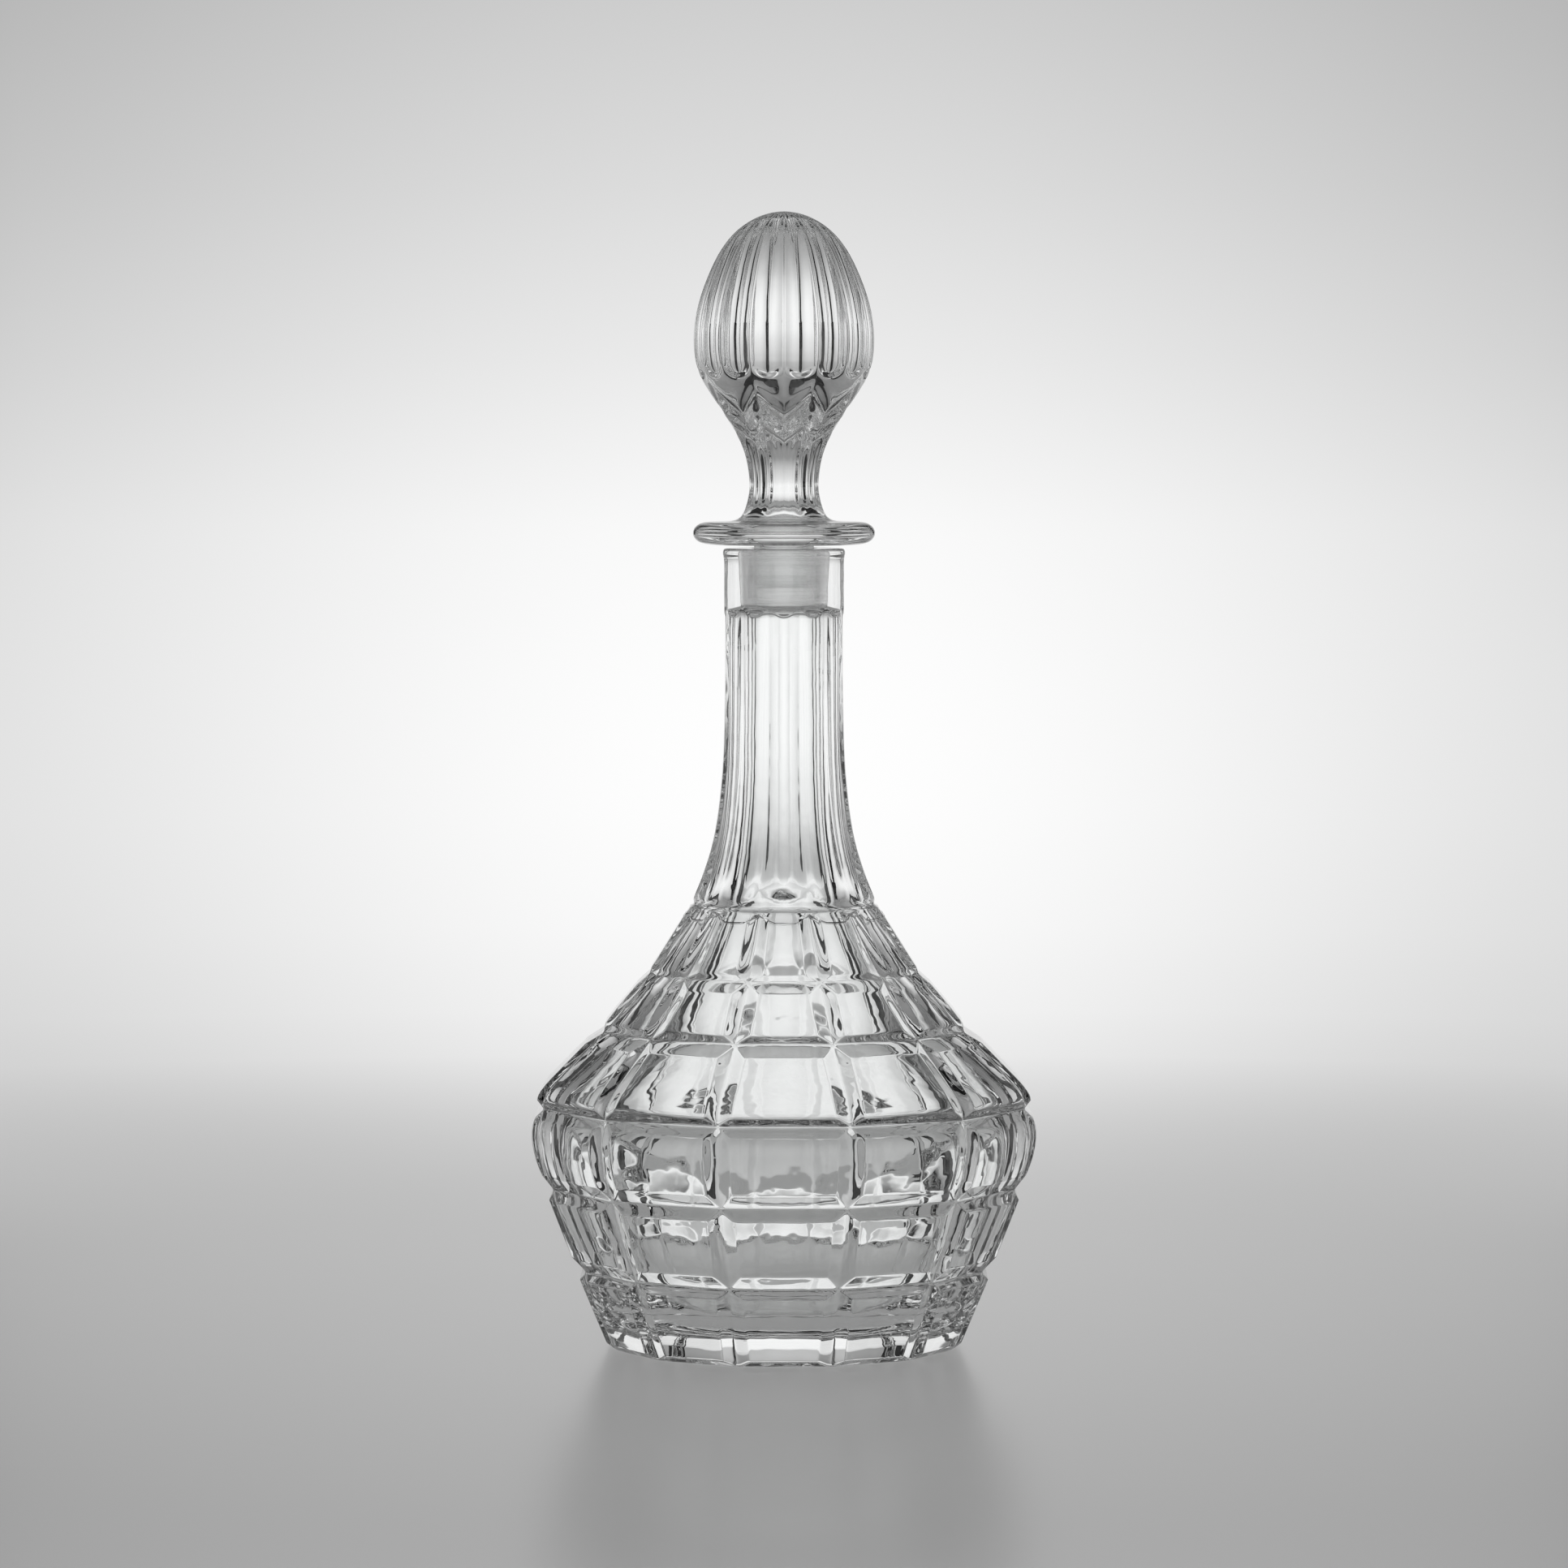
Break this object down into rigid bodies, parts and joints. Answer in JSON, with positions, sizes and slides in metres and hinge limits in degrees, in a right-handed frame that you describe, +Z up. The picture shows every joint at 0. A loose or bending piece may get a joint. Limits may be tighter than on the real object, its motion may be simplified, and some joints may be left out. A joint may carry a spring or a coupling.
{
  "type": "wine decanter",
  "caption": "Stoppered decanter of pressed clear glass: block-patterned body, panelled neck, round collar, and a lift-out ground stopper with disc and ribbed egg knob.",
  "frame": {"origin": "centre of the foot at table height", "axes": "+Z up the axis of the decanter; a block column faces -Y, another faces +X"},
  "size_m": [0.1422, 0.1422, 0.32],
  "materials": {
    "bottle_glass": "fire-polished clear, ground satin inside the mouth",
    "stopper_glass": "fire-polished clear, ground satin plug"
  },
  "bodies": {
    "bottle": {"bottle": "bottle_glass"},
    "stopper": {"stopper": "stopper_glass"}
  },
  "joints": [
    {"name": "stopper_lift", "type": "slide", "parent": "bottle", "child": "stopper", "axis": [0, 0, 1], "range_m": [0, 0.06]}
  ]
}
